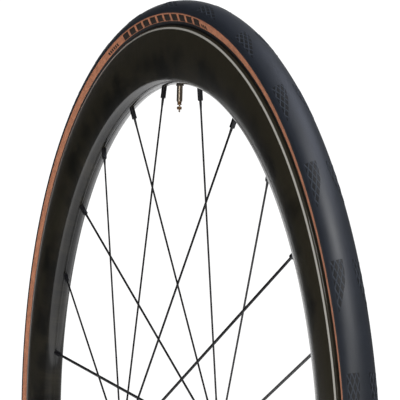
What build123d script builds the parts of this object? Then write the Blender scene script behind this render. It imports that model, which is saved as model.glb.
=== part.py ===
"""A road bicycle tire, mounted on the deep front wheel that carries it.

The wheel centre is the origin, the axle lies along Y, Z is up and X is forward, so left is +Y.
Sections are drawn on the XY plane, with X as the radius and Y as the place along the axle.
"""
from build123d import *
import os
from math import cos, radians, sin, sqrt

os.makedirs("parts", exist_ok=True)

SIDES = (("left", 1), ("right", -1))

# Tire
BEAD_SEAT_RADIUS = 311.0        # half of the 622 mm rim standard; heights and depths start here
TIRE_HEIGHT = 25.0
TIRE_HALF_WIDTH = 11.2          # at the widest place
TIRE_WIDEST_HEIGHT = 12.55
SHOULDER_FULLNESS = 0.736       # share of height and width at the shoulder, 0.707 is an ellipse
TREAD_EDGE_HEIGHT = 15.1        # where the tread ends and the tan sidewall starts
SIDEWALL_LOW_HEIGHT = 9.0       # where the tan sidewall meets the chafer
SIDEWALL_FLARE = 0.5            # share of the sidewall's bulge reached at its low edge
TREAD_THICKNESS = 2.6
SKIN_THICKNESS = 0.55           # sidewall rubber and chafer
PLY_THICKNESS = 0.35
LINER_THICKNESS = 0.4
BREAKER_THICKNESS = 0.4
BREAKER_HALF_WIDTH = 6.5
BEAD_CORE_RADIUS = 1.0
BEAD_FOOT_HEIGHT = 3.75
BEAD_FOOT_WIDTH = 3.9
PLY_END_HEIGHT = 1.15           # the plies stop this far above the bead foot's base

# Rim
RIM_EDGE_HEIGHT = 5.7
RIM_EDGE_HALF_WIDTH = 10.5
RIM_SHOULDER_HEIGHT = 3.2       # lower edge of the sloped shoulder
RIM_INNER_HALF_WIDTH = 8.6
RIM_WIDEST_DEPTH = 8.0          # the rim is widest this far below the bead seat
RIM_HALF_WIDTH = 12.95
RIM_NOSE_DEPTH = 38.2           # the nose's tip, below the bead seat
RIM_NOSE_RADIUS = 8.8
RIM_SIDE_WALL = 1.6
RIM_NOSE_WALL = 2.6
RIM_BED_WALL = 1.7
WELL_DEPTH = 1.7
SEAT_WIDTH = 3.4
WELL_SLOPE = 1.0                # width of the slope between a bead seat and the well
TAPE_THICKNESS = 0.25
ACCESS_HOLE_RADIUS = 4.0

# Spokes and nipples
SPOKE_COUNT = 24
FIRST_SPOKE_ANGLE = 101.94      # from +X towards +Z, a spoke of the right side
SPOKE_RADIUS = 1.0
BLADE_WIDTH = 2.6
BLADE_THICKNESS = 1.2
BLADE_TAPER = 6.0
SPOKE_NECK = 12.0               # round length beside the elbow
SPOKE_THREAD_LENGTH = 13.0
SPOKE_HEAD_RADIUS = 1.8
SPOKE_HEAD_THICKNESS = 0.9
ELBOW_RADIUS = 1.6
NIPPLE_RADIUS = 2.0
NIPPLE_FLATS = 3.4
NIPPLE_FLATS_LENGTH = 6.0
NIPPLE_SHOWN = 9.0              # length that stands out of the rim
NIPPLE_HEAD_RADIUS = 3.0
NIPPLE_HEAD_HEIGHT = 2.4
NIPPLE_SEAT_DEPTH = 2.2         # from the rim's nose to the seat of the nipple's head

# Hub
FLANGE_FACE = 35.1
FLANGE_THICKNESS = 3.2
FLANGE_RADIUS = 22.5
SPOKE_CIRCLE = 18.5
SPOKE_EXIT = 36.9               # the spokes leave the flanges on this plane
BARREL_RADIUS = 11.8
BARREL_HALF_LENGTH = 24.0
FLANGE_ROOT_RADIUS = 15.5
SHELL_END = 43.2
SHELL_END_RADIUS = 14.6
SHELL_BORE_RADIUS = 9.6
AXLE_RADIUS = 6.0
AXLE_HALF_LENGTH = 47.0
SKEWER_BORE_RADIUS = 2.6
LOCKNUT_HALF_WIDTH = 50.0       # half of the 100 mm between the fork's dropouts
STUB_RADIUS = 4.5
STUB_LENGTH = 5.5
END_CAP_RADIUS = 9.5
END_CAP_NECK_RADIUS = 7.3
END_CAP_NECK_LENGTH = 1.8

# Bearings
BEARING_OUTER_RADIUS = 12.0
BEARING_WIDTH = 6.0
BEARING_FACE = 42.4
BALL_RADIUS = 1.55
BALL_COUNT = 10
BALL_CIRCLE = 9.0
INNER_RACE_RADIUS = 7.95
OUTER_RACE_BORE = 10.05
CAGE_HALF_THICKNESS = 0.6
CAGE_WIDTH = 4.2
SEAL_THICKNESS = 0.5

# Valve
VALVE_ANGLE = 95.2
STEM_RADIUS = 2.3               # the threaded part, in the rim and under the ring nut
NECK_RADIUS = 1.95              # the smooth part that stands out
STEM_SHOWN = 12.95
CORE_SHOWN = 2.65
CORE_RADIUS = 1.45
CORE_FLATS = 2.4
CORE_LENGTH = 25.0
PIN_RADIUS = 0.65
PIN_TRAVEL = 1.0
PIN_STOP_GAP = 0.15             # space left between lock nut and core with the pin pressed
PIN_TIP_SHOWN = 2.0
PLUG_RADIUS = 1.25
PLUG_LENGTH = 2.5
LOCK_NUT_RADIUS = 1.6
LOCK_NUT_HEIGHT = 2.3
AIR_PASSAGE_RADIUS = 1.0
RING_NUT_RADIUS = 3.1
RING_NUT_HEIGHT = 1.2
GROMMET_HEIGHT = 3.4
GROMMET_LENGTH = 11.0
GROMMET_SIDE_GAP = 0.7          # from the grommet to the well's side
GROMMET_TAPER = 12.0            # degrees
STEM_HEAD_HEIGHT = 1.0
STEM_HEAD_RADIUS = 3.1

# Clearances
SEAT_CLEARANCE = 0.05           # tire bead to rim
HOLE_CLEARANCE = 0.15           # spokes, nipples and valve in their holes
THREAD_CLEARANCE = 0.03
RUNNING_CLEARANCE = 0.08        # pieces that turn or slide in one another
RACE_CLEARANCE = 0.1            # balls to their tracks

# Values worked out from the sizes above
TIRE_OUTER_RADIUS = BEAD_SEAT_RADIUS + TIRE_HEIGHT
TIRE_WIDEST_RADIUS = BEAD_SEAT_RADIUS + TIRE_WIDEST_HEIGHT
TREAD_EDGE_RADIUS = BEAD_SEAT_RADIUS + TREAD_EDGE_HEIGHT
SIDEWALL_LOW_RADIUS = BEAD_SEAT_RADIUS + SIDEWALL_LOW_HEIGHT
RIM_EDGE_RADIUS = BEAD_SEAT_RADIUS + RIM_EDGE_HEIGHT
RIM_SHOULDER_RADIUS = BEAD_SEAT_RADIUS + RIM_SHOULDER_HEIGHT
RIM_WIDEST_RADIUS = BEAD_SEAT_RADIUS - RIM_WIDEST_DEPTH
RIM_NOSE_TIP = BEAD_SEAT_RADIUS - RIM_NOSE_DEPTH
WALL_LINE = RIM_INNER_HALF_WIDTH - SEAT_CLEARANCE
FOOT_BASE = BEAD_SEAT_RADIUS + TAPE_THICKNESS + SEAT_CLEARANCE
SEAT_END = RIM_INNER_HALF_WIDTH - SEAT_WIDTH
WELL_RADIUS = BEAD_SEAT_RADIUS - WELL_DEPTH
WELL_HALF_WIDTH = SEAT_END - WELL_SLOPE
GROMMET_WIDTH = 2 * (WELL_HALF_WIDTH - GROMMET_SIDE_GAP)
NOSE_CENTRE = RIM_NOSE_TIP + RIM_NOSE_RADIUS
SEAL_BORE = INNER_RACE_RADIUS + RUNNING_CLEARANCE
TRACK_RADIUS = BALL_RADIUS + RACE_CLEARANCE
STEM_BORE_RADIUS = CORE_RADIUS + THREAD_CLEARANCE
STEM_END = RIM_NOSE_TIP - STEM_SHOWN
CORE_END = STEM_END - CORE_SHOWN
LOCK_NUT_TOP = CORE_END - PIN_TRAVEL - PIN_STOP_GAP
PIN_TIP = LOCK_NUT_TOP - LOCK_NUT_HEIGHT - PIN_TIP_SHOWN
ELBOW_TO_NOSE = sqrt((RIM_NOSE_TIP - SPOKE_CIRCLE) ** 2 + SPOKE_EXIT ** 2)
NIPPLE_SEAT = ELBOW_TO_NOSE + NIPPLE_SEAT_DEPTH
NIPPLE_END = ELBOW_TO_NOSE - NIPPLE_SHOWN
REACH = 2 * TIRE_OUTER_RADIUS   # longer than anything it cuts

# Depths of the tire's layers below its surface, at the crown and at the sides
SURFACE = (0.0, 0.0)
CASING = (TREAD_THICKNESS, SKIN_THICKNESS)
MID_PLY = (CASING[0] + PLY_THICKNESS, CASING[1] + PLY_THICKNESS)
LINER = (MID_PLY[0] + PLY_THICKNESS, MID_PLY[1] + PLY_THICKNESS)
CAVITY = (LINER[0] + LINER_THICKNESS, LINER[1] + LINER_THICKNESS)


def save(piece, name):
    """Label a finished piece and write its STEP file."""
    piece.part.label = name
    export_step(piece.part, f"parts/{name}.step")


def tire_line(depths, side):
    """Draw one half of a line around the tire, from the crown to the rim edge it returns."""
    crown_depth, side_depth = depths
    height = TIRE_OUTER_RADIUS - TIRE_WIDEST_RADIUS - crown_depth
    width = TIRE_HALF_WIDTH - side_depth
    rim_line = WALL_LINE - side_depth
    flare = rim_line + SIDEWALL_FLARE * (width - rim_line)
    crown = (TIRE_OUTER_RADIUS - crown_depth, 0)
    shoulder = (TIRE_WIDEST_RADIUS + SHOULDER_FULLNESS * height, side * SHOULDER_FULLNESS * width)
    points = [shoulder, (TIRE_WIDEST_RADIUS, side * width), (SIDEWALL_LOW_RADIUS, side * flare)]
    points.append((RIM_EDGE_RADIUS, side * rim_line))
    start, heading = crown, (0, side)
    for point in points:
        arc = TangentArc(start, point, tangent=heading)
        start, heading = point, arc % 1
    return start


def layer(outer, inner, low_radius):
    """Section of one layer of the tire, between two depths, from bead to bead."""
    with BuildSketch() as section:
        with BuildLine():
            for _, side in SIDES:
                top = tire_line(outer, side)
                bottom = tire_line(inner, side)
                Polyline(top, (low_radius, top[1]), (low_radius, bottom[1]), bottom)
        make_face()
    return section.sketch


def ring_cut(low_radius, high_radius, low_place, high_place):
    """Keep only the part of a section between these radii and places along the axle."""
    with Locations(((low_radius + high_radius) / 2, (low_place + high_place) / 2)):
        Rectangle(high_radius - low_radius, high_place - low_place, mode=Mode.INTERSECT)


skin = layer(SURFACE, CASING, FOOT_BASE)
outer_ply = layer(CASING, MID_PLY, FOOT_BASE + PLY_END_HEIGHT)
inner_ply = layer(MID_PLY, LINER, FOOT_BASE + PLY_END_HEIGHT)
liner = layer(LINER, CAVITY, FOOT_BASE + BEAD_FOOT_HEIGHT)
belt_top = (TREAD_THICKNESS - BREAKER_THICKNESS, SKIN_THICKNESS * 3 / 4)
breaker = layer(belt_top, CASING, FOOT_BASE)


# ---------------------------------------------------------------- tire

with BuildPart() as breaker_belt:
    with BuildSketch() as belt_section:
        add(breaker)
        ring_cut(TIRE_WIDEST_RADIUS, REACH, -BREAKER_HALF_WIDTH, BREAKER_HALF_WIDTH)
    revolve(axis=Axis.Y)
save(breaker_belt, "breaker_belt")

with BuildPart() as tread_cap:
    with BuildSketch():
        add(skin)
        ring_cut(TREAD_EDGE_RADIUS, REACH, -REACH, REACH)
        add(belt_section.sketch, mode=Mode.SUBTRACT)
    revolve(axis=Axis.Y)
save(tread_cap, "tread_cap")

for ply_name, ply_section in (("casing_ply_outer", outer_ply), ("casing_ply_inner", inner_ply)):
    with BuildPart() as casing_ply:
        with BuildSketch():
            add(ply_section)
        revolve(axis=Axis.Y)
    save(casing_ply, ply_name)

with BuildPart() as inner_liner:
    with BuildSketch():
        add(liner)
    revolve(axis=Axis.Y)
save(inner_liner, "inner_liner")

core_place = WALL_LINE - LINER[1] - BEAD_CORE_RADIUS - SKIN_THICKNESS / 4
core_radius_place = FOOT_BASE + BEAD_FOOT_HEIGHT / 2

with BuildSketch() as sidewall_section:
    add(skin)
    ring_cut(SIDEWALL_LOW_RADIUS, TREAD_EDGE_RADIUS, 0, REACH)

with BuildSketch() as core_section:
    with Locations((core_radius_place, core_place)):
        Circle(BEAD_CORE_RADIUS)

with BuildSketch() as chafer_section:
    add(skin)
    ring_cut(FOOT_BASE, SIDEWALL_LOW_RADIUS, 0, REACH)
    with Locations((FOOT_BASE + BEAD_FOOT_HEIGHT / 2, WALL_LINE - BEAD_FOOT_WIDTH / 2)):
        Rectangle(BEAD_FOOT_HEIGHT, BEAD_FOOT_WIDTH)
    for inner_section in (outer_ply, inner_ply, core_section.sketch):
        add(inner_section, mode=Mode.SUBTRACT)

for side_name, side in SIDES:
    with BuildPart() as sidewall:
        with BuildSketch():
            add(sidewall_section.sketch if side > 0 else mirror(sidewall_section.sketch, Plane.XZ))
        revolve(axis=Axis.Y)
    save(sidewall, f"sidewall_{side_name}")

    with BuildPart() as bead_core:
        with BuildSketch():
            add(core_section.sketch if side > 0 else mirror(core_section.sketch, Plane.XZ))
        revolve(axis=Axis.Y)
    save(bead_core, f"bead_core_{side_name}")

    with BuildPart() as chafer:
        with BuildSketch():
            add(chafer_section.sketch if side > 0 else mirror(chafer_section.sketch, Plane.XZ))
        revolve(axis=Axis.Y)
    save(chafer, f"chafer_{side_name}")


# ---------------------------------------------------------------- rim

def shell_points(nose_centre, nose_radius, half_width, top_radius):
    """End of the nose's arc, and the flank's top, for arcs that are tangent to one another."""
    run = RIM_WIDEST_RADIUS - nose_centre
    flank_radius = (run ** 2 + half_width ** 2 - nose_radius ** 2) / (2 * (half_width - nose_radius))
    flank_centre = half_width - flank_radius
    reach = flank_radius - nose_radius
    join = (nose_centre - nose_radius * run / reach, -nose_radius * flank_centre / reach)
    top_place = flank_centre + sqrt(flank_radius ** 2 - (top_radius - RIM_WIDEST_RADIUS) ** 2)
    return join, (top_radius, top_place)


def shell_half(nose_centre, nose_radius, half_width, top_radius):
    """Nose and flank of the rim's section on one side, ending at the returned point."""
    join, top = shell_points(nose_centre, nose_radius, half_width, top_radius)
    tip = (nose_centre - nose_radius, 0)
    nose = TangentArc(tip, join, tangent=(0, 1))
    TangentArc(join, top, tangent=nose % 1)
    return top


well_line = [(BEAD_SEAT_RADIUS, RIM_INNER_HALF_WIDTH), (BEAD_SEAT_RADIUS, SEAT_END)]
well_line += [(WELL_RADIUS, WELL_HALF_WIDTH), (WELL_RADIUS, 0)]


def spot(angle, radius, place=0.0):
    """Point at this angle and radius about the axle, at a place along it."""
    return Vector(radius * cos(radians(angle)), place, radius * sin(radians(angle)))


def radial_plane(angle, radius):
    """Plane across a wheel radius: its Z axis points away from the hub, its X axis along the axle."""
    return Plane(origin=spot(angle, radius), x_dir=(0, 1, 0), z_dir=spot(angle, 1))


def spoke_plane(side, angle, distance):
    """Plane across a spoke, at a distance from its elbow, with its X axis in the wheel's plane."""
    elbow = spot(angle, SPOKE_CIRCLE, side * SPOKE_EXIT)
    along = (spot(angle, RIM_NOSE_TIP) - elbow).normalized()
    across = Vector(0, 1, 0).cross(spot(angle, 1))
    return Plane(origin=elbow + along * distance, x_dir=across, z_dir=along)


# Spokes alternate between the right and the left flange around the wheel.
spoke_places = []
for number in range(SPOKE_COUNT):
    spoke_side = -1 if number % 2 == 0 else 1
    spoke_places.append((spoke_side, FIRST_SPOKE_ANGLE + number * 360 / SPOKE_COUNT))

with BuildPart() as rim:
    with BuildSketch():
        with BuildLine():
            seam = shell_half(NOSE_CENTRE, RIM_NOSE_RADIUS, RIM_HALF_WIDTH, RIM_SHOULDER_RADIUS)
            edge = (RIM_EDGE_RADIUS, RIM_EDGE_HALF_WIDTH)
            Polyline(seam, edge, (RIM_EDGE_RADIUS, RIM_INNER_HALF_WIDTH), *well_line)
            mirror(about=Plane.XZ)
        make_face()
    revolve(axis=Axis.Y)
    with BuildSketch():
        with BuildLine():
            roof = WELL_RADIUS - RIM_BED_WALL
            hollow_nose = RIM_NOSE_RADIUS - RIM_SIDE_WALL
            hollow_centre = RIM_NOSE_TIP + RIM_NOSE_WALL + hollow_nose
            corner = shell_half(hollow_centre, hollow_nose, RIM_HALF_WIDTH - RIM_SIDE_WALL, roof)
            Line(corner, (roof, 0))
            mirror(about=Plane.XZ)
        make_face()
    revolve(axis=Axis.Y, mode=Mode.SUBTRACT)
    for side, angle in spoke_places:
        with BuildSketch(spoke_plane(side, angle, NIPPLE_END)):
            Circle(NIPPLE_RADIUS + HOLE_CLEARANCE)
        extrude(amount=NIPPLE_SHOWN + RIM_NOSE_WALL + NIPPLE_HEAD_HEIGHT, mode=Mode.SUBTRACT)
        with BuildSketch(spoke_plane(side, angle, NIPPLE_SEAT)):
            Circle(NIPPLE_HEAD_RADIUS + HOLE_CLEARANCE)
        extrude(amount=NIPPLE_HEAD_HEIGHT, mode=Mode.SUBTRACT)
        with BuildSketch(radial_plane(angle, RIM_WIDEST_RADIUS)):
            Circle(ACCESS_HOLE_RADIUS)
        extrude(amount=RIM_EDGE_RADIUS - RIM_WIDEST_RADIUS, mode=Mode.SUBTRACT)
    with BuildSketch(radial_plane(VALVE_ANGLE, RIM_NOSE_TIP - RIM_NOSE_WALL)):
        Circle(STEM_RADIUS + HOLE_CLEARANCE)
    extrude(amount=RIM_EDGE_RADIUS - RIM_NOSE_TIP, mode=Mode.SUBTRACT)
save(rim, "rim")

with BuildPart() as rim_tape:
    with BuildSketch():
        with BuildLine():
            Polyline(*well_line)
            raised = [(radius + TAPE_THICKNESS, place) for radius, place in well_line]
            Polyline(well_line[0], *raised)
            mirror(about=Plane.XZ)
        make_face()
    revolve(axis=Axis.Y)
    with BuildSketch(radial_plane(VALVE_ANGLE, RIM_WIDEST_RADIUS)):
        Circle(STEM_RADIUS + HOLE_CLEARANCE)
    extrude(amount=RIM_EDGE_RADIUS - RIM_WIDEST_RADIUS, mode=Mode.SUBTRACT)
save(rim_tape, "rim_tape")


# ---------------------------------------------------------------- valve

GROMMET_BASE = WELL_RADIUS + TAPE_THICKNESS
STEM_TOP = GROMMET_BASE + GROMMET_HEIGHT
RING_NUT_TOP = sqrt(RIM_NOSE_TIP ** 2 - RING_NUT_RADIUS ** 2)
RING_NUT_BASE = RING_NUT_TOP - RING_NUT_HEIGHT


def valve_cylinder(low_radius, high_radius, cylinder_radius, mode=Mode.ADD):
    """Cylinder on the valve's axis, between two distances from the wheel's centre."""
    with BuildSketch(radial_plane(VALVE_ANGLE, low_radius)) as disc:
        Circle(cylinder_radius)
    extrude(disc.sketch, amount=high_radius - low_radius, mode=mode)


with BuildPart() as valve_stem:
    valve_cylinder(STEM_END, RING_NUT_BASE, NECK_RADIUS)
    valve_cylinder(RING_NUT_BASE, STEM_TOP, STEM_RADIUS)
    valve_cylinder(STEM_TOP, STEM_TOP + STEM_HEAD_HEIGHT, STEM_HEAD_RADIUS)
    core_top = CORE_END + CORE_LENGTH
    valve_cylinder(STEM_END, core_top + PLUG_LENGTH + 2 * PIN_TRAVEL, STEM_BORE_RADIUS, Mode.SUBTRACT)
    valve_cylinder(core_top, STEM_TOP + STEM_HEAD_HEIGHT, AIR_PASSAGE_RADIUS, Mode.SUBTRACT)
save(valve_stem, "valve_stem")

with BuildPart() as valve_grommet:
    with BuildSketch(radial_plane(VALVE_ANGLE, GROMMET_BASE)):
        RectangleRounded(GROMMET_WIDTH, GROMMET_LENGTH, GROMMET_WIDTH / 3)
    extrude(amount=GROMMET_HEIGHT, taper=GROMMET_TAPER)
    valve_cylinder(GROMMET_BASE, STEM_TOP, STEM_RADIUS, Mode.SUBTRACT)
save(valve_grommet, "valve_grommet")

with BuildPart() as valve_ring_nut:
    valve_cylinder(RING_NUT_BASE, RING_NUT_TOP, RING_NUT_RADIUS)
    chamfer(valve_ring_nut.edges().filter_by(GeomType.CIRCLE), RING_NUT_HEIGHT / 6)
    valve_cylinder(RING_NUT_BASE, RING_NUT_TOP, STEM_RADIUS + THREAD_CLEARANCE, Mode.SUBTRACT)
save(valve_ring_nut, "valve_ring_nut")

with BuildPart() as valve_core:
    valve_cylinder(CORE_END, core_top, CORE_RADIUS)
    with BuildSketch(radial_plane(VALVE_ANGLE, CORE_END + CORE_SHOWN / 4)):
        Circle(2 * CORE_RADIUS)
        Rectangle(CORE_FLATS, 4 * CORE_RADIUS, mode=Mode.SUBTRACT)
    extrude(amount=CORE_SHOWN / 2, mode=Mode.SUBTRACT)
    valve_cylinder(CORE_END, core_top, PIN_RADIUS + RUNNING_CLEARANCE, Mode.SUBTRACT)
save(valve_core, "valve_core")

with BuildPart() as valve_pin:
    valve_cylinder(PIN_TIP, core_top, PIN_RADIUS)
    chamfer(valve_pin.edges().filter_by(GeomType.CIRCLE), PIN_RADIUS / 4)
    valve_cylinder(core_top, core_top + PLUG_LENGTH, PLUG_RADIUS)
save(valve_pin, "valve_pin")

with BuildPart() as valve_lock_nut:
    lock_nut_base = LOCK_NUT_TOP - LOCK_NUT_HEIGHT
    valve_cylinder(lock_nut_base, LOCK_NUT_TOP, LOCK_NUT_RADIUS)
    chamfer(valve_lock_nut.edges().filter_by(GeomType.CIRCLE), LOCK_NUT_HEIGHT / 8)
    valve_cylinder(lock_nut_base, LOCK_NUT_TOP, PIN_RADIUS + RUNNING_CLEARANCE, Mode.SUBTRACT)
save(valve_lock_nut, "valve_lock_nut")


# ---------------------------------------------------------------- spokes and nipples

def blade_sketch():
    """Flattened section of a spoke, wide in the wheel's plane."""
    Ellipse(BLADE_WIDTH / 2, BLADE_THICKNESS / 2)


BLADE_START = SPOKE_NECK + BLADE_TAPER
THREAD_START = NIPPLE_SEAT - SPOKE_THREAD_LENGTH
BLADE_END = THREAD_START - BLADE_TAPER
FLANGE_INNER = FLANGE_FACE - FLANGE_THICKNESS

for number, (side, angle) in enumerate(spoke_places, start=1):
    head_centre = spot(angle, SPOKE_CIRCLE, side * FLANGE_INNER)
    elbow_corner = spot(angle, SPOKE_CIRCLE, side * SPOKE_EXIT)
    with BuildPart() as spoke:
        with BuildLine() as elbow:
            neck = spoke_plane(side, angle, SPOKE_NECK).origin
            FilletPolyline(head_centre, elbow_corner, neck, radius=ELBOW_RADIUS)
        with BuildSketch(Plane(origin=head_centre, z_dir=(0, side, 0))):
            Circle(SPOKE_RADIUS)
        sweep(path=elbow.wire())
        with BuildSketch(Plane(origin=head_centre, z_dir=(0, -side, 0))):
            Circle(SPOKE_HEAD_RADIUS)
        extrude(amount=SPOKE_HEAD_THICKNESS)
        with BuildSketch(spoke_plane(side, angle, SPOKE_NECK)):
            Circle(SPOKE_RADIUS)
        with BuildSketch(spoke_plane(side, angle, BLADE_START)):
            blade_sketch()
        loft()
        with BuildSketch(spoke_plane(side, angle, BLADE_START)):
            blade_sketch()
        extrude(amount=BLADE_END - BLADE_START)
        with BuildSketch(spoke_plane(side, angle, BLADE_END)):
            blade_sketch()
        with BuildSketch(spoke_plane(side, angle, THREAD_START)):
            Circle(SPOKE_RADIUS)
        loft()
        with BuildSketch(spoke_plane(side, angle, THREAD_START)):
            Circle(SPOKE_RADIUS)
        extrude(amount=SPOKE_THREAD_LENGTH)
    save(spoke, f"spoke_{number:02d}")

for side_name, row_side in SIDES:
    with BuildPart() as nipples:
        for side, angle in spoke_places:
            if side != row_side:
                continue
            with BuildSketch(spoke_plane(side, angle, NIPPLE_END)):
                Circle(NIPPLE_RADIUS)
                Rectangle(NIPPLE_FLATS, NIPPLE_FLATS, mode=Mode.INTERSECT)
            extrude(amount=NIPPLE_FLATS_LENGTH)
            with BuildSketch(spoke_plane(side, angle, NIPPLE_END + NIPPLE_FLATS_LENGTH)):
                Circle(NIPPLE_RADIUS)
            extrude(amount=NIPPLE_SEAT - NIPPLE_END - NIPPLE_FLATS_LENGTH)
            with BuildSketch(spoke_plane(side, angle, NIPPLE_SEAT)):
                Circle(NIPPLE_HEAD_RADIUS)
            extrude(amount=NIPPLE_HEAD_HEIGHT)
            with BuildSketch(spoke_plane(side, angle, NIPPLE_END)):
                Circle(SPOKE_RADIUS + THREAD_CLEARANCE)
            extrude(amount=NIPPLE_SEAT + NIPPLE_HEAD_HEIGHT - NIPPLE_END, mode=Mode.SUBTRACT)
    save(nipples, f"nipples_{side_name}")


# ---------------------------------------------------------------- hub and bearings

with BuildPart() as hub_shell:
    with BuildSketch():
        with BuildLine():
            seat_place = BEARING_FACE - BEARING_WIDTH
            outline = [(SHELL_BORE_RADIUS, 0), (SHELL_BORE_RADIUS, seat_place)]
            outline += [(BEARING_OUTER_RADIUS, seat_place), (BEARING_OUTER_RADIUS, SHELL_END)]
            outline += [(SHELL_END_RADIUS, SHELL_END), (SHELL_END_RADIUS, FLANGE_FACE)]
            outline += [(FLANGE_RADIUS, FLANGE_FACE), (FLANGE_RADIUS, FLANGE_INNER)]
            outline += [(FLANGE_ROOT_RADIUS, FLANGE_INNER)]
            Polyline(*outline)
            waist = (BARREL_RADIUS, BARREL_HALF_LENGTH)
            Spline(outline[-1], waist, tangents=((0, -1), (0, -1)))
            Line(waist, (BARREL_RADIUS, 0))
            mirror(about=Plane.XZ)
        make_face()
    revolve(axis=Axis.Y)
    for side, angle in spoke_places:
        hole_centre = spot(angle, SPOKE_CIRCLE, side * FLANGE_INNER)
        with BuildSketch(Plane(origin=hole_centre, z_dir=(0, side, 0))):
            Circle(SPOKE_RADIUS + HOLE_CLEARANCE)
        extrude(amount=FLANGE_THICKNESS, mode=Mode.SUBTRACT)
save(hub_shell, "hub_shell")

with BuildPart() as axle:
    with BuildSketch(Plane.XZ):
        Circle(AXLE_RADIUS)
        Circle(SKEWER_BORE_RADIUS, mode=Mode.SUBTRACT)
    extrude(amount=AXLE_HALF_LENGTH, both=True)
save(axle, "axle")

for side_name, side in SIDES:
    ball_place = side * (BEARING_FACE - BEARING_WIDTH / 2)
    ball_plane = Plane(origin=(0, ball_place, 0), x_dir=(1, 0, 0), z_dir=(0, 1, 0))

    with BuildPart() as inner_race:
        with BuildSketch():
            with Locations(((AXLE_RADIUS + INNER_RACE_RADIUS) / 2, ball_place)):
                Rectangle(INNER_RACE_RADIUS - AXLE_RADIUS, BEARING_WIDTH)
            with Locations((BALL_CIRCLE, ball_place)):
                Circle(TRACK_RADIUS, mode=Mode.SUBTRACT)
        revolve(axis=Axis.Y)
    save(inner_race, f"bearing_inner_race_{side_name}")

    with BuildPart() as outer_race:
        with BuildSketch():
            with Locations(((OUTER_RACE_BORE + BEARING_OUTER_RADIUS) / 2, ball_place)):
                Rectangle(BEARING_OUTER_RADIUS - OUTER_RACE_BORE, BEARING_WIDTH)
            with Locations((BALL_CIRCLE, ball_place)):
                Circle(TRACK_RADIUS, mode=Mode.SUBTRACT)
        revolve(axis=Axis.Y)
    save(outer_race, f"bearing_outer_race_{side_name}")

    with BuildPart() as balls:
        with Locations(ball_plane):
            with PolarLocations(BALL_CIRCLE, BALL_COUNT):
                Sphere(BALL_RADIUS)
    save(balls, f"bearing_balls_{side_name}")

    with BuildPart() as cage:
        with BuildSketch():
            with Locations((BALL_CIRCLE, ball_place)):
                Rectangle(2 * CAGE_HALF_THICKNESS, CAGE_WIDTH)
        revolve(axis=Axis.Y)
        for pocket in range(BALL_COUNT):
            with BuildSketch(radial_plane(pocket * 360 / BALL_COUNT, AXLE_RADIUS)):
                with Locations((ball_place, 0)):
                    Circle(BALL_RADIUS + RUNNING_CLEARANCE)
            extrude(amount=BALL_CIRCLE, mode=Mode.SUBTRACT)
    save(cage, f"bearing_cage_{side_name}")

    with BuildPart() as seal:
        with BuildSketch():
            seal_centre = ((SEAL_BORE + OUTER_RACE_BORE) / 2, side * (BEARING_FACE - SEAL_THICKNESS / 2))
            with Locations(seal_centre):
                Rectangle(OUTER_RACE_BORE - SEAL_BORE, SEAL_THICKNESS)
        revolve(axis=Axis.Y)
    save(seal, f"bearing_seal_{side_name}")

    with BuildPart() as end_cap:
        with BuildSketch():
            with BuildLine():
                neck_end = BEARING_FACE + END_CAP_NECK_LENGTH
                stub_end = LOCKNUT_HALF_WIDTH + STUB_LENGTH
                outline = [(AXLE_RADIUS, BEARING_FACE), (END_CAP_NECK_RADIUS, BEARING_FACE)]
                outline += [(END_CAP_NECK_RADIUS, neck_end), (END_CAP_RADIUS, neck_end)]
                outline += [(END_CAP_RADIUS, LOCKNUT_HALF_WIDTH), (STUB_RADIUS, LOCKNUT_HALF_WIDTH)]
                outline += [(STUB_RADIUS, stub_end), (SKEWER_BORE_RADIUS, stub_end)]
                outline += [(SKEWER_BORE_RADIUS, AXLE_HALF_LENGTH), (AXLE_RADIUS, AXLE_HALF_LENGTH)]
                Polyline(*[(radius, side * place) for radius, place in outline], close=True)
            make_face()
        revolve(axis=Axis.Y)
    save(end_cap, f"end_cap_{side_name}")
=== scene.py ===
"""A road bicycle tire on its deep front wheel: surfaces, finishes, lights and camera around the CAD frame.

The wheel spins about Y. Sizes are in metres, and angles go from +X towards +Z.
"""
import math

import bmesh
import bpy
from mathutils import Matrix, Vector


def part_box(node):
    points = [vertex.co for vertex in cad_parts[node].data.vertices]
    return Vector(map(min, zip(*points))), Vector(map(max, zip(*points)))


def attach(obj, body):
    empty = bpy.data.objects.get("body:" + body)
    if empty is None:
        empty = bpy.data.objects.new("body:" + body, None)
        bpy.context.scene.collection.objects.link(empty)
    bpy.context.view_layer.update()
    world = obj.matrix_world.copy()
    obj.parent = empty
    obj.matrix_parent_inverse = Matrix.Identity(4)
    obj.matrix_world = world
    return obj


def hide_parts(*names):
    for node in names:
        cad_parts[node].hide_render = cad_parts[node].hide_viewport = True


bl_info = {
    "name": "Road Wheel Finisher",
    "version": (1, 0, 0),
    "blender": (4, 5, 0),
    "location": "3D View > Sidebar > Wheel",
    "description": "Builds the visible surfaces of a road tire and its deep wheel",
    "category": "Object",
}

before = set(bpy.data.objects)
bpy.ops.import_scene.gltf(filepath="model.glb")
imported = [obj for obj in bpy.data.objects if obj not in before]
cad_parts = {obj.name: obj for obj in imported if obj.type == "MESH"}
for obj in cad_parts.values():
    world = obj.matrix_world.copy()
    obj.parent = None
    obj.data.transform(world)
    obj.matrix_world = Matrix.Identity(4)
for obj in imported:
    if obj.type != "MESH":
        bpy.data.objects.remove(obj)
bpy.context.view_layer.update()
MM = 0.001
FULL_TURN = 2 * math.pi
SHARP_ANGLE = math.radians(38)
SIDES = (("left", 1), ("right", -1))


# ------------------------------------------------------------------ sizes taken from the frame

def ring_radii(node):
    """Innermost and outermost radius of a ring node about the axle."""
    radii = [math.hypot(v.co.x, v.co.z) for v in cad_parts[node].data.vertices]
    return min(radii), max(radii)


def widest(node):
    """Largest distance of a node from the wheel's middle plane, and the radius where it stands."""
    points = [(abs(v.co.y), math.hypot(v.co.x, v.co.z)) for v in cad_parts[node].data.vertices]
    return max(points)


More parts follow.
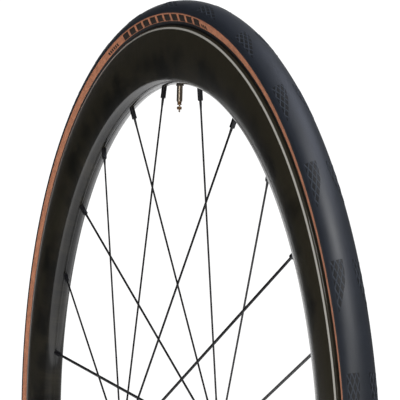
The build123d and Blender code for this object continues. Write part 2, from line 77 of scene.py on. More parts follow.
def places_at(node, radius, slack=0.05 * MM):
    """Smallest and largest distance from the middle plane at one radius of a ring node."""
    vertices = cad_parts[node].data.vertices
    places = [abs(v.co.y) for v in vertices if abs(math.hypot(v.co.x, v.co.z) - radius) < slack]
    return min(places), max(places)


def valve_reach(node):
    """Lowest and highest radius of a valve piece, along the valve's own axis."""
    reach = [v.co.dot(VALVE_AXIS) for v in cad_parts[node].data.vertices]
    return min(reach), max(reach)


def valve_radius(node):
    """Largest distance of a valve piece from the valve's axis."""
    return max((v.co - VALVE_AXIS * v.co.dot(VALVE_AXIS)).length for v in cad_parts[node].data.vertices)


TREAD_EDGE, TIRE_TOP = ring_radii("tread_cap")
TAN_EDGE = ring_radii("sidewall_left")[0]
TIRE_HALF, TIRE_WIDEST = widest("sidewall_left")
NOSE_TIP, RIM_TOP = ring_radii("rim")
RIM_HALF, RIM_WIDEST = widest("rim")
RIM_WALL, RIM_EDGE = places_at("rim", RIM_TOP)
BEAD_SEAT = ring_radii("rim_tape")[1] - 0.25 * MM
VALVE_LOW, VALVE_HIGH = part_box("valve_pin")
VALVE_ANGLE = math.atan2(VALVE_LOW.z + VALVE_HIGH.z, VALVE_LOW.x + VALVE_HIGH.x)
VALVE_AXIS = Vector((math.cos(VALVE_ANGLE), 0, math.sin(VALVE_ANGLE)))


# ------------------------------------------------------------------ settings

class TireSettings(bpy.types.PropertyGroup):
    """Sizes and colours of the tire."""
    tread_colour: bpy.props.StringProperty(
        name="Tread", description="Rubber of the tread", default="#12161D")
    tan_colour: bpy.props.StringProperty(
        name="Sidewall", description="Coated cotton of the sidewall", default="#AA7053")
    ring_steps: bpy.props.IntProperty(
        name="Steps", description="Sections around the tire and the rim", default=448, min=96, max=720)
    patch_count: bpy.props.IntProperty(
        name="Grip patches", description="Textured patches on each shoulder", default=28, min=4, max=60)
    patch_start: bpy.props.FloatProperty(
        name="First patch", description="Where one patch starts", default=math.radians(21.4),
        subtype="ANGLE")
    patch_length: bpy.props.FloatProperty(
        name="Patch length", description="Length of a patch around the tire", default=35 * MM,
        subtype="DISTANCE", unit="LENGTH", precision=5)
    rib_height: bpy.props.FloatProperty(
        name="Rib height", description="How far the grip ribs stand up", default=0.22 * MM,
        subtype="DISTANCE", unit="LENGTH", precision=5)
    rib_spacing: bpy.props.FloatProperty(
        name="Rib spacing", description="Distance between ribs of one direction", default=2.5 * MM,
        subtype="DISTANCE", unit="LENGTH", precision=5)
    tread_step: bpy.props.FloatProperty(
        name="Tread step", description="How far the tread's edge stands over the sidewall",
        default=0.28 * MM, subtype="DISTANCE", unit="LENGTH", precision=5)


class WheelSettings(bpy.types.PropertyGroup):
    """Sizes and colours of the rim, the valve and the hub."""
    carbon_colour: bpy.props.StringProperty(
        name="Carbon", description="Fibre laminate of the rim", default="#17150F")
    brass_colour: bpy.props.StringProperty(
        name="Brass", description="Metal of the valve", default="#857A6C")
    shoulder_drop: bpy.props.FloatProperty(
        name="Shoulder", description="Height of the rim's sloped shoulder", default=2.5 * MM,
        subtype="DISTANCE", unit="LENGTH", precision=5)
    nose_radius: bpy.props.FloatProperty(
        name="Nose", description="Radius of the rim's round inner edge", default=8.8 * MM,
        subtype="DISTANCE", unit="LENGTH", precision=5)
    thread_pitch: bpy.props.FloatProperty(
        name="Valve thread", description="Pitch of the valve's thread", default=0.8 * MM,
        subtype="DISTANCE", unit="LENGTH", precision=5)


class StageSettings(bpy.types.PropertyGroup):
    """Camera and lights."""
    camera_azimuth: bpy.props.FloatProperty(
        name="Azimuth", description="Camera's direction around Z, from -Y towards +X",
        default=math.radians(67.69), subtype="ANGLE")
    camera_elevation: bpy.props.FloatProperty(
        name="Elevation", description="Camera's height angle", default=math.radians(13.42),
        subtype="ANGLE")
    camera_roll: bpy.props.FloatProperty(
        name="Roll", description="Turn of the picture", default=math.radians(3.56), subtype="ANGLE")
    camera_distance: bpy.props.FloatProperty(
        name="Distance", description="Camera's distance from the wheel's centre", default=1.7588,
        subtype="DISTANCE", unit="LENGTH")
    camera_aim: bpy.props.FloatVectorProperty(
        name="Aim", description="Point the camera looks at", default=(0.0282, 0, 0.1912),
        subtype="TRANSLATION")
    lens: bpy.props.FloatProperty(
        name="Lens", description="Focal length in millimetres", default=207.5)
    world_strength: bpy.props.FloatProperty(
        name="Surround", description="Light that the white studio gives", default=0.33)
    floor_radius: bpy.props.FloatProperty(
        name="Floor", description="Radius of the white floor", default=1.2, subtype="DISTANCE", unit="LENGTH")
    backdrop: bpy.props.FloatProperty(
        name="Backdrop", description="Brightness of the studio as the camera sees it", default=1.1)


# ------------------------------------------------------------------ outlines, as radius and place

def arc_points(start, heading, end, count):
    """Points of the arc that leaves start along heading and reaches end, and its heading there."""
    chord = end - start
    bend = heading.x * chord.y - heading.y * chord.x
    turn = 2 * math.atan2(bend, heading.dot(chord))
    if abs(turn) < 1e-6:
        return [start.lerp(end, k / count) for k in range(1, count + 1)], heading.copy()
    radius = chord.length / (2 * math.sin(turn / 2))
    centre = start + Vector((-heading.y, heading.x)) * radius
    arm = start - centre
    points = [centre + Matrix.Rotation(turn * k / count, 2) @ arm for k in range(1, count + 1)]
    return points, Matrix.Rotation(turn, 2) @ heading


def tire_half_line(count=9):
    """The tire's outer line from the crown to the rim, as radius and distance from the middle plane."""
    shoulder_fullness = 0.736
    height = TIRE_TOP - TIRE_WIDEST
    shoulder = Vector((TIRE_WIDEST + shoulder_fullness * height, shoulder_fullness * TIRE_HALF))
    low = Vector((TAN_EDGE, places_at("sidewall_left", TAN_EDGE)[1]))
    rim_line = Vector((RIM_TOP, RIM_WALL - 0.05 * MM))
    points, heading = [Vector((TIRE_TOP, 0))], Vector((0, 1))
    for end in (shoulder, Vector((TIRE_WIDEST, TIRE_HALF)), low, rim_line):
        arc, heading = arc_points(points[-1], heading, end, count)
        points += arc
    return points


def inward(points, depth):
    """Directions pointing into the tire at each point of its half line, scaled to depth."""
    ends = list(zip([points[0]] + points[:-1], points[1:] + [points[-1]]))
    runs = [(after - before).normalized() for before, after in ends]
    return [Vector((-run.y, run.x)) * depth for run in runs]


def span(points, high, low):
    """The stretch of a half line between two radii, with points set exactly on both."""
    kept = [p for p in points if low + 1e-6 < p.x < high - 1e-6]
    cuts = []
    for radius in (high, low):
        for before, after in zip(points, points[1:]):
            if after.x <= radius <= before.x:
                cuts.append(before.lerp(after, (before.x - radius) / max(before.x - after.x, 1e-9)))
                break
    return [cuts[0]] + kept + [cuts[-1]]


TIRE_LINE = tire_half_line()
DENSE_LINE = tire_half_line(60)


def surface_at(place=None, radius=None):
    """Point and outward direction of the tire's surface, found by place or, on the flank, by radius."""
    normals = inward(DENSE_LINE, -1)
    for index, (before, after) in enumerate(zip(DENSE_LINE, DENSE_LINE[1:])):
        if place is not None and before.y <= place <= after.y:
            share = (place - before.y) / max(after.y - before.y, 1e-9)
        elif radius is not None and after.x <= radius <= before.x and before.x < TREAD_EDGE:
            share = (before.x - radius) / max(before.x - after.x, 1e-9)
        else:
            continue
        return before.lerp(after, share), normals[index]
    raise ValueError("that place is off the tire")


# ------------------------------------------------------------------ shapes

def spun_ring(outline, steps, hollow=False):
    """Closed ring: a closed outline of radius and place, spun once about the axle."""
    bm = bmesh.new()
    verts = [bm.verts.new((p[0], p[1], 0)) for p in outline]
    edges = [bm.edges.new(pair) for pair in zip(verts, verts[1:] + verts[:1])]
    bmesh.ops.spin(bm, geom=verts + edges, cent=(0, 0, 0), axis=(0, 1, 0), dvec=(0, 0, 0),
                   angle=FULL_TURN, steps=steps, use_merge=True, use_duplicate=False)
    bmesh.ops.recalc_face_normals(bm, faces=bm.faces)
    if hollow:
        bmesh.ops.reverse_faces(bm, faces=bm.faces)
    return bm


def lathe(outline, steps=32):
    """Closed turned piece: an open outline of distance along the axis and radius, spun about Z."""
    bm = bmesh.new()
    verts = [bm.verts.new((radius, 0, along)) for along, radius in outline]
    edges = [bm.edges.new(pair) for pair in zip(verts, verts[1:] + verts[:1])]
    bmesh.ops.spin(bm, geom=verts + edges, cent=(0, 0, 0), axis=(0, 0, 1), dvec=(0, 0, 0),
                   angle=FULL_TURN, steps=steps, use_merge=True, use_duplicate=False)
    bmesh.ops.remove_doubles(bm, verts=bm.verts, dist=1e-6)
    bmesh.ops.recalc_face_normals(bm, faces=bm.faces)
    return bm


def soften(bm, width, angle=SHARP_ANGLE, segments=2):
    """Round every edge that is sharper than an angle."""
    sharp = [e for e in bm.edges if len(e.link_faces) == 2 and e.calc_face_angle(0) > angle]
    bmesh.ops.bevel(bm, geom=sharp, offset=width, offset_type="OFFSET", affect="EDGES",
                    segments=segments, profile=0.5, material=-1, clamp_overlap=True)


def join(target, other):
    """Move another bmesh's geometry into a target."""
    held = bpy.data.meshes.new("held")
    other.to_mesh(held)
    other.free()
    target.from_mesh(held)
    bpy.data.meshes.remove(held)


def new_piece(name, bm, material, body, slot, *replaced):
    """Make a bmesh a piece that rides on a body and stands for CAD nodes."""
    for face in bm.faces:
        face.smooth = True
    for edge in bm.edges:
        edge.smooth = len(edge.link_faces) == 2 and edge.calc_face_angle(0) < SHARP_ANGLE
    mesh = bpy.data.meshes.new(name)
    bm.to_mesh(mesh)
    bm.free()
    mesh.materials.append(material)
    piece = bpy.data.objects.new(name, mesh)
    bpy.context.scene.collection.objects.link(piece)
    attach(piece, body)
    if replaced:
        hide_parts(*replaced)
    return piece


def dress(material, *nodes):
    """Give CAD nodes a material."""
    for node in nodes:
        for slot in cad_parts[node].material_slots:
            slot.material = material


# ------------------------------------------------------------------ materials

def hex_colour(code):
    """Linear colour of an sRGB hex value."""
    channels = [int(code[k:k + 2], 16) / 255 for k in (1, 3, 5)]
    return (*[c / 12.92 if c <= 0.04045 else ((c + 0.055) / 1.055) ** 2.4 for c in channels], 1)


def add_node(tree, kind, settings=(), sockets=()):
    """Add a node with its settings, and set or link its sockets."""
    node = tree.nodes.new(kind)
    for name, value in dict(settings).items():
        setattr(node, name, value)
    for key, value in dict(sockets).items():
        if isinstance(value, bpy.types.NodeSocket):
            tree.links.new(value, node.inputs[key])
        else:
            node.inputs[key].default_value = value
    return node


def new_material(name, **sockets):
    """Material with one shader, whose constant values are set on its own sockets."""
    material = bpy.data.materials.new(name)
    material.use_nodes = True
    tree = material.node_tree
    tree.nodes.clear()
    values = {key.replace("_", " "): value for key, value in sockets.items()}
    shader = add_node(tree, "ShaderNodeBsdfPrincipled", sockets=values)
    add_node(tree, "ShaderNodeOutputMaterial", sockets={"Surface": shader.outputs["BSDF"]})
    return material, tree, shader


def place_in_mm(tree, scale=(1, 1, 1)):
    """Object coordinates in millimetres, stretched by a scale."""
    place = add_node(tree, "ShaderNodeTexCoord")
    stretch = [value / MM for value in scale]
    return add_node(tree, "ShaderNodeMapping", sockets={
        "Vector": place.outputs["Object"], "Scale": stretch}).outputs["Vector"]


def ring_place(tree):
    """Angle about the axle in radians, and radius and place along the axle in millimetres."""
    split = add_node(tree, "ShaderNodeSeparateXYZ", sockets={"Vector": place_in_mm(tree)})
    x, y, z = (split.outputs[axis] for axis in "XYZ")
    angle = add_node(tree, "ShaderNodeMath", {"operation": "ARCTAN2"}, {0: z, 1: x}).outputs[0]
    flat = add_node(tree, "ShaderNodeCombineXYZ", sockets={"X": x, "Z": z}).outputs[0]
    radius = add_node(tree, "ShaderNodeVectorMath", {"operation": "LENGTH"}, {0: flat}).outputs["Value"]
    return angle, radius, y


def threads(tree, along, across, count, lean):
    """Wave from -1 to 1 of threads that cross a ring: count of them around it, leaning with radius."""
    turned = add_node(tree, "ShaderNodeMath", {"operation": "MULTIPLY"}, {0: along, 1: count}).outputs[0]
    leant = add_node(tree, "ShaderNodeMath", {"operation": "MULTIPLY_ADD"},
                     {0: across, 1: lean, 2: turned}).outputs[0]
    return add_node(tree, "ShaderNodeMath", {"operation": "SINE"}, {0: leant}).outputs[0]


def grain(tree, cells, detail=4, roughness=0.6, stretch=(1, 1, 1)):
    """Noise from 0 to 1 through the piece, with this many cells per millimetre."""
    return add_node(tree, "ShaderNodeTexNoise", sockets={
        "Vector": place_in_mm(tree, stretch), "Scale": cells, "Detail": detail,
        "Roughness": roughness}).outputs["Fac"]


def layered(tree, value, *parts):
    """Add (part, share) values to a value."""
    for part, share in parts:
        value = add_node(tree, "ShaderNodeMath", {"operation": "MULTIPLY_ADD"},
                         {0: part, 1: share, 2: value}).outputs[0]
    return value


def finish(tree, shader, tone, stops, gloss, rough, relief=None, depth=0.0):
    """Colour a shader by tone through two (position, hex) stops, and set its gloss and relief."""
    ramp = add_node(tree, "ShaderNodeValToRGB", sockets={"Fac": tone})
    for stop, (position, code) in zip(ramp.color_ramp.elements, stops):
        stop.position = position
        stop.color = hex_colour(code)
    tree.links.new(ramp.outputs["Color"], shader.inputs["Base Color"])
    spread = add_node(tree, "ShaderNodeMapRange", sockets={
        "Value": gloss, "To Min": rough[0], "To Max": rough[1]})
    tree.links.new(spread.outputs["Result"], shader.inputs["Roughness"])
    if relief is not None:
        bump = add_node(tree, "ShaderNodeBump", sockets={
            "Height": relief, "Distance": depth, "Strength": 1.0})
        tree.links.new(bump.outputs["Normal"], shader.inputs["Normal"])
    return ramp.outputs["Color"]


def shade(code, factor):
    """Hex colour made lighter or darker by a factor."""
    return "#" + "".join(f"{min(255, round(int(code[k:k + 2], 16) * factor)):02X}" for k in (1, 3, 5))


def tread_rubber():
    """Vulcanised silica rubber from a bead-blasted mould: charcoal, bluish, softly shining, with grit."""
    colour = bpy.context.scene.tire_settings.tread_colour
    material, tree, shader = new_material("tread rubber, moulded matt", IOR=1.52, Specular_IOR_Level=0.36)
    grit, cloud = grain(tree, 1.1, 5), grain(tree, 0.03, 3)
    finish(tree, shader, layered(tree, cloud, (grit, 0.5)),
           ((0.45, shade(colour, 0.86)), (0.95, shade(colour, 1.14))), cloud, (0.46, 0.58), grit, 0.05 * MM)
    return material


def grip_rubber(name, dark, light):
    """The same rubber where the mould is cut for grip: the ribs get a painted highlight, a lighter colour
    than the tread, and the gaps between them painted shade, a darker one.
    """
    material, tree, shader = new_material(name, IOR=1.5, Specular_IOR_Level=0.25)
    grit = grain(tree, 1.6)
    finish(tree, shader, grit, ((0.3, dark), (0.8, light)), grit, (0.5, 0.7), grit, 0.03 * MM)
    return material


def tan_cotton():
    """Cotton threads under clear latex, laid at 45 degrees both ways: warm tan with a fine cross hatch.

    The real threads lie 0.2 mm apart. They are drawn 1.1 mm apart so that they show.
    """
    colour = bpy.context.scene.tire_settings.tan_colour
    material, tree, shader = new_material("cotton casing, latex coated", IOR=1.46, Specular_IOR_Level=0.3)
    angle, radius, _ = ring_place(tree)
    thread_spacing = 1.1 * MM
    count = round(FULL_TURN * TIRE_WIDEST / thread_spacing)
    lean = count * MM / TIRE_WIDEST
    weave = layered(tree, threads(tree, angle, radius, count, lean),
                    (threads(tree, angle, radius, count, -lean), 1.0))
    stain, grit = grain(tree, 0.25, 5, 0.65), grain(tree, 1.5, 3)
    raised = add_node(tree, "ShaderNodeMapRange", sockets={"Value": weave}).outputs["Result"]
    finish(tree, shader, layered(tree, stain, (weave, 0.07), (grit, 0.3)),
           ((0.35, shade(colour, 0.78)), (0.95, shade(colour, 1.14))), stain, (0.5, 0.68), raised, 0.06 * MM)
    return material


def black_ink():
    """Screen-printed ink: flat black, slightly scuffed so that the tan shows through in specks."""
    material, tree, shader = new_material("printed ink, black", IOR=1.48, Specular_IOR_Level=0.3)
    specks = grain(tree, 1.4, 4, 0.7)
    finish(tree, shader, specks, ((0.2, "#2A2019"), (0.75, "#17130F")), specks, (0.45, 0.65))
    return material


def black_rubber(name, code, roughness):
    """Smooth moulded rubber or film: an even tone with a dull sheen and faint mottling."""
    material, tree, shader = new_material(name, IOR=1.5, Specular_IOR_Level=0.25)
    mottle = grain(tree, 0.9)
    finish(tree, shader, mottle, ((0.3, shade(code, 0.8)), (0.8, shade(code, 1.25))),
           mottle, (roughness - 0.08, roughness + 0.08), mottle, 0.02 * MM)
    return material


def cord_cloth(name, dark, light, pitch):
    """Parallel cords set in rubber: ribbed, with threads across the ring, and dull.

    Real cords lie 0.3 to 0.5 mm apart. They are drawn at a coarser pitch so that they show.
    """
    material, tree, shader = new_material(name, IOR=1.48)
    angle, _, place = ring_place(tree)
    count = round(FULL_TURN * TIRE_WIDEST / pitch)
    wave = threads(tree, angle, place, count, count * MM / TIRE_WIDEST)
    cords = add_node(tree, "ShaderNodeMapRange", sockets={"Value": wave}).outputs["Result"]
    mottle = grain(tree, 0.6)
    finish(tree, shader, layered(tree, cords, (mottle, 0.4)), ((0.1, dark), (1.0, light)),
           mottle, (0.6, 0.8), cords, 0.1 * MM)
    return material


def carbon_laminate():
    """Unidirectional carbon fibre in satin clear coat: olive black, with faint streaks along the radius.

    The outer part is painted lighter, a painted light band standing in for light falling on the flank, and a
    thin painted highlight line runs near the shoulder.
    Real fibres are too fine to show, so they are drawn as streaks some millimetres wide.
    """
    colour = bpy.context.scene.wheel_settings.carbon_colour
    material, tree, shader = new_material(
        "carbon fibre laminate, satin clear coat", IOR=1.5, Specular_IOR_Level=0.12,
        Coat_Weight=0.6, Coat_Roughness=0.1)
    angle, radius, _ = ring_place(tree)
    around = add_node(tree, "ShaderNodeMath", {"operation": "COSINE"}, {0: angle}).outputs[0]
    upward = add_node(tree, "ShaderNodeMath", {"operation": "SINE"}, {0: angle}).outputs[0]
    drawn_out = add_node(tree, "ShaderNodeMath", {"operation": "MULTIPLY"}, {0: radius, 1: 0.0006}).outputs[0]
    fibre_place = add_node(tree, "ShaderNodeCombineXYZ", sockets={
        "X": around, "Y": upward, "Z": drawn_out}).outputs[0]
    streaks = add_node(tree, "ShaderNodeTexNoise", sockets={
        "Vector": fibre_place, "Scale": 150, "Detail": 4, "Roughness": 0.7}).outputs["Fac"]
    broad = add_node(tree, "ShaderNodeTexNoise", sockets={
        "Vector": fibre_place, "Scale": 14, "Detail": 3, "Roughness": 0.6}).outputs["Fac"]
    cloud = grain(tree, 0.03, 2)
    # Painted light: the flank's colour is made lighter towards its outer part, all round the rim.
    band_start, band_full = 288, 310
    painted_light_band = add_node(tree, "ShaderNodeMapRange", {"interpolation_type": "SMOOTHSTEP"}, {
        "Value": radius, "From Min": band_start, "From Max": band_full,
        "To Min": -0.1, "To Max": 0.15}).outputs["Result"]
    laminate = finish(tree, shader, layered(tree, cloud, (streaks, 0.5), (broad, 0.4), (painted_light_band, 1.0)),
                      ((0.75, shade(colour, 0.42)), (1.3, shade(colour, 1.45))),
                      streaks, (0.26, 0.44), streaks, 0.012 * MM)
    # Painted highlight: a thin pale grey line near the shoulder is mixed into the colour in place of a
    # reflection.
    edge_radius, edge_half, edge_fade = RIM_TOP / MM - 2.0, 0.5, 0.9
    past_edge = add_node(tree, "ShaderNodeMath", {"operation": "SUBTRACT"},
                         {0: radius, 1: edge_radius}).outputs[0]
    off_edge = add_node(tree, "ShaderNodeMath", {"operation": "ABSOLUTE"}, {0: past_edge}).outputs[0]
    painted_highlight_line = add_node(tree, "ShaderNodeMapRange", sockets={
        "Value": off_edge, "From Min": edge_half, "From Max": edge_fade,
        "To Min": 1.0, "To Max": 0.0}).outputs["Result"]
    laminate_with_highlight = add_node(tree, "ShaderNodeMix", {"data_type": "RGBA"}, {
        0: painted_highlight_line, 6: laminate, 7: hex_colour("#8E8C86")}).outputs[2]
    tree.links.new(laminate_with_highlight, shader.inputs["Base Color"])
    return material


def metal(name, dark, light, roughness, cells=0.8, stretch=(1, 1, 1)):
    """Metal that is brighter where use has polished it: two tones, uneven gloss and fine marks."""
    material, tree, shader = new_material(name, Metallic=1.0)
    marks = grain(tree, cells, 5, 0.65, stretch)
    finish(tree, shader, marks, ((0.3, dark), (0.75, light)), marks, (roughness - 0.07, roughness + 0.09),
           marks, 0.008 * MM)
    return material


def coated(name, dark, light, roughness, cells=0.7):
    """Black coating or anodising over metal: a dark non-metal skin with an even, low sheen."""
    material, tree, shader = new_material(name, IOR=1.5, Specular_IOR_Level=0.3)
    marks = grain(tree, cells, 5, 0.65)
    finish(tree, shader, marks, ((0.3, dark), (0.8, light)), marks, (roughness - 0.06, roughness + 0.08),
           marks, 0.006 * MM)
    return material


# ------------------------------------------------------------------ the tire

class WHEEL_OT_tread(bpy.types.Operator):
    """Make the tread, with its edges standing over the sidewalls."""
    bl_idname = "wheel.tread"
    bl_label = "Tread"

    def execute(self, context):
        settings = context.scene.tire_settings
        half = span(TIRE_LINE, TIRE_TOP, TREAD_EDGE)
        wall, skin = 2.2 * MM, 0.45 * MM
        edge_sharpness = 14
        reach = half[-1].y
        depths = [skin + (wall - skin) * math.cos(0.5 * math.pi * point.y / reach) for point in half]
        lifts = [settings.tread_step * (point.y / reach) ** edge_sharpness for point in half]
        outer = [p - d * lift for p, d, lift in zip(half, inward(half, 1), lifts)]
        inner = [p + d * depth for p, d, depth in zip(half, inward(half, 1), depths)]
        mirrored = [Vector((p.x, -p.y)) for p in outer[:0:-1]]
        back = [Vector((p.x, -p.y)) for p in inner[1:]]
        bm = spun_ring(mirrored + outer + inner[::-1] + back, settings.ring_steps)
        soften(bm, 0.1 * MM, math.radians(60))
        new_piece("tread_surface", bm, tread_rubber(), "wheel", "tread_rubber", "tread_cap")
        return {"FINISHED"}


# The inner edge of a grip patch in millimetres: run back from its front, and place on the tread.
PATCH_INNER_LINE = ((0, 3.5), (8, 3.6), (16, 4.5), (24, 6.8), (35, 9.9))
PATCH_OUTER_PLACE = 10.35 * MM


def everything(bm):
    """All vertices, edges and faces of a bmesh."""
    return list(bm.verts) + list(bm.edges) + list(bm.faces)


def score(bm, point, across):
    """Cut a bmesh along a plane and keep both sides."""
    bmesh.ops.bisect_plane(bm, geom=everything(bm), dist=1e-7, plane_co=point, plane_no=across)


def rib_net(settings):
    """One grip patch laid out flat: ribs that cross at a small angle, long enough to be cut to the patch's
    outline.

    X runs back from the patch's leading edge, Y is the distance from the middle plane, Z is height.
    """
    length, lean = settings.patch_length, math.radians(15)
    top_width, foot_width, foot_depth = 0.42 * MM, 0.8 * MM, 0.1 * MM
    net = bmesh.new()
    for heading in (lean, -lean):
        for row in range(-12, 20):
            made = bmesh.ops.create_cube(net, size=1.0)["verts"]
            for vert in made:
                top = vert.co.z > 0
                vert.co.y *= top_width if top else foot_width
                vert.co.x *= 3 * length
                vert.co.z = settings.rib_height if top else -foot_depth
            bmesh.ops.rotate(net, verts=made, cent=(0, 0, 0), matrix=Matrix.Rotation(heading, 3, "Z"))
            bmesh.ops.translate(net, verts=made,
                                vec=(0, row * settings.rib_spacing / math.cos(lean), 0))
    return net


def keep_side(bm, point, outward):
    """Cut a bmesh by a plane, drop what lies on the outward side, and close the cut."""
    cut = bmesh.ops.bisect_plane(bm, geom=everything(bm), dist=1e-7, plane_co=point, plane_no=outward,
                                 clear_outer=True)
    rim_edges = [e for e in cut["geom_cut"] if isinstance(e, bmesh.types.BMEdge) and e.is_valid]
    bmesh.ops.holes_fill(bm, edges=rim_edges, sides=0)


def cut_to_patch(bm, settings):
    """Cut flat geometry to a grip patch: straight in front, open to the tread's edge, curved inside."""
    keep_side(bm, (0, 0, 0), (-1, 0, 0))
    keep_side(bm, (settings.patch_length, 0, 0), (1, 0, 0))
    keep_side(bm, (0, PATCH_OUTER_PLACE, 0), (0, 1, 0))
    for (x0, y0), (x1, y1) in zip(PATCH_INNER_LINE, PATCH_INNER_LINE[1:]):
        keep_side(bm, (x0 * MM, y0 * MM, 0), (y1 - y0, x0 - x1, 0))


def wrap_on_tread(bm, lead_angle, side):
    """Bend flat geometry round the tread: X runs back from the leading edge, Y across, Z outwards."""
    for vert in bm.verts:
        angle = lead_angle - vert.co.x / TIRE_TOP
        point, outward = surface_at(place=vert.co.y)
        spot = point + outward * vert.co.z
        vert.co = (spot.x * math.cos(angle), side * spot.y, spot.x * math.sin(angle))


class WHEEL_OT_grip_patches(bpy.types.Operator):
    """Make the ribbed grip patches on both shoulders of the tread."""
    bl_idname = "wheel.grip_patches"
    bl_label = "Grip patches"

    def execute(self, context):
        settings = context.scene.tire_settings
        # Painted light: the ribs are coloured lighter than the tread as a painted highlight, and the gaps
        # darker as painted shade.
        material = grip_rubber("tread rubber ribs, painted highlight", "#1C2026", "#2C313A")
        ground = grip_rubber("tread rubber between ribs, painted shade", "#08090B", "#0F1115")
        bend_step, plate_top, plate_foot = 5 * MM, 0.05 * MM, -0.15 * MM
        count = settings.patch_count
        for side_name, side in SIDES:
            patch = rib_net(settings)
            cut_to_patch(patch, settings)
            plate = bmesh.new()
            made = bmesh.ops.create_cube(plate, size=1.0)["verts"]
            for vert in made:
                vert.co = (vert.co.x * 4 * settings.patch_length, vert.co.y * 40 * MM,
                           plate_top if vert.co.z > 0 else plate_foot)
            cut_to_patch(plate, settings)
            for row in range(4, 11):
                score(plate, (0, row * MM, 0), (0, 1, 0))
            for face in plate.faces:
                face.material_index = 1
            join(patch, plate)
            for column in range(1, int(settings.patch_length / bend_step) + 1):
                score(patch, (column * bend_step, 0, 0), (1, 0, 0))
            wrap_on_tread(patch, settings.patch_start, side)
            bmesh.ops.recalc_face_normals(patch, faces=patch.faces)
            bmesh.ops.spin(patch, geom=everything(patch), cent=(0, 0, 0), axis=(0, 1, 0), dvec=(0, 0, 0),
                           angle=FULL_TURN * (count - 1) / count, steps=count - 1,
                           use_merge=False, use_duplicate=True)
            piece = new_piece(f"grip_patches_{side_name}", patch, material, "wheel", "tread_rubber")
            piece.data.materials.append(ground)
        return {"FINISHED"}


class WHEEL_OT_sidewalls(bpy.types.Operator):
    """Make the tan sidewalls, tucked a little under the tread's edges."""
    bl_idname = "wheel.sidewalls"
    bl_label = "Sidewalls"

    def execute(self, context):
        settings = context.scene.tire_settings
        material = tan_cotton()
        half = span(TIRE_LINE, TREAD_EDGE, TAN_EDGE)
        sunk, skin = 0.1 * MM, 0.5 * MM
        outer = [p + d for p, d in zip(half, inward(half, sunk))]
        inner = [p + d for p, d in zip(half, inward(half, skin))]
        for side_name, side in SIDES:
            outline = [Vector((p.x, side * p.y)) for p in outer + inner[::-1]]
            bm = spun_ring(outline, settings.ring_steps)
            new_piece(f"tan_sidewall_{side_name}", bm, material, "wheel", "tan_sidewall",
                      f"sidewall_{side_name}")
        return {"FINISHED"}


class WHEEL_OT_label(bpy.types.Operator):
    """Print a plain band of slanted bars on each sidewall."""
    bl_idname = "wheel.label"
    bl_label = "Sidewall bars"

    def execute(self, context):
        material = black_ink()
        low, high, slant = 320.3 * MM, 325.1 * MM, 1.5 * MM
        start, stop = math.radians(84.2), math.radians(112.8)
        bars, gap = 11, 0.26
        pitch = (stop - start) * TIRE_WIDEST / bars
        dash_length, dash_pitch = 2.6 * MM, 3.9 * MM
        run_out, lead_in = 10 * MM, 6 * MM
        sunk, ink = 0.06 * MM, 0.08 * MM
        for side_name, side in SIDES:
            bm = bmesh.new()
            blocks = [(k * pitch, pitch * (1 - gap), low, high) for k in range(bars)]
            blocks += [(bars * pitch + run_out + k * dash_pitch, dash_length, low + 0.7 * MM, low + 3.2 * MM)
                       for k in range(6)]
            blocks += [(-lead_in - k * dash_pitch, dash_length, low + 0.5 * MM, low + 2.7 * MM)
                       for k in range(3)]
            for left, width, bottom, top in blocks:
                made = bmesh.ops.create_grid(bm, x_segments=4, y_segments=4, size=0.5)["verts"]
                for vert in made:
                    across = vert.co.y + 0.5
                    radius = bottom + across * (top - bottom)
                    along = left + (vert.co.x + 0.5) * width + across * slant
                    angle = start + along / TIRE_WIDEST
                    point, outward = surface_at(radius=radius)
                    spot = point - outward * sunk
                    vert.co = (spot.x * math.cos(angle), side * spot.y, spot.x * math.sin(angle))
            bmesh.ops.recalc_face_normals(bm, faces=bm.faces)
            facing_in = [f for f in bm.faces if f.normal.y * side < 0]
            bmesh.ops.reverse_faces(bm, faces=facing_in)
            bmesh.ops.solidify(bm, geom=bm.faces, thickness=ink)
            bmesh.ops.recalc_face_normals(bm, faces=bm.faces)
            new_piece(f"sidewall_bars_{side_name}", bm, material, "wheel", "tan_sidewall")
        return {"FINISHED"}


class WHEEL_OT_tire_inside(bpy.types.Operator):
    """Finish the chafers and the layers inside the tire."""
    bl_idname = "wheel.tire_inside"
    bl_label = "Chafers and casing"

    def execute(self, context):
        dress(black_rubber("chafer rubber, moulded", "#17181A", 0.55), "chafer_left", "chafer_right")
        dress(cord_cloth("nylon cord in rubber", "#1E1B18", "#5A5148", 1.4 * MM),
              "casing_ply_outer", "casing_ply_inner")
        dress(cord_cloth("breaker cord in rubber", "#2A2419", "#7A6A3C", 1.6 * MM), "breaker_belt")
        dress(black_rubber("butyl liner, smooth", "#1B1B1B", 0.4), "inner_liner", "valve_grommet")
        dress(cord_cloth("aramid bead cord", "#7A6220", "#D8BE62", 1.8 * MM),
              "bead_core_left", "bead_core_right")
        return {"FINISHED"}


# ------------------------------------------------------------------ the rim and the spokes

def shell_line(nose_centre, nose_radius, half_width, top, count):
    """Half of the rim's line, from the nose's tip up the flank to a radius."""
    run = RIM_WIDEST - nose_centre
    flank_radius = (run ** 2 + half_width ** 2 - nose_radius ** 2) / (2 * (half_width - nose_radius))
    flank_centre = half_width - flank_radius
    reach = flank_radius - nose_radius
    meet = Vector((nose_centre - nose_radius * run / reach, -nose_radius * flank_centre / reach))
    end = Vector((top, flank_centre + math.sqrt(flank_radius ** 2 - (top - RIM_WIDEST) ** 2)))
    tip = Vector((nose_centre - nose_radius, 0))
    nose, heading = arc_points(tip, Vector((0, 1)), meet, count)
    flank, _ = arc_points(meet, heading, end, count)
    return [tip] + nose + flank


def both_sides(half):
    """Close a half line that starts and ends on the middle plane with its mirror image."""
    return half + [Vector((p.x, -p.y)) for p in half[-2:0:-1]]


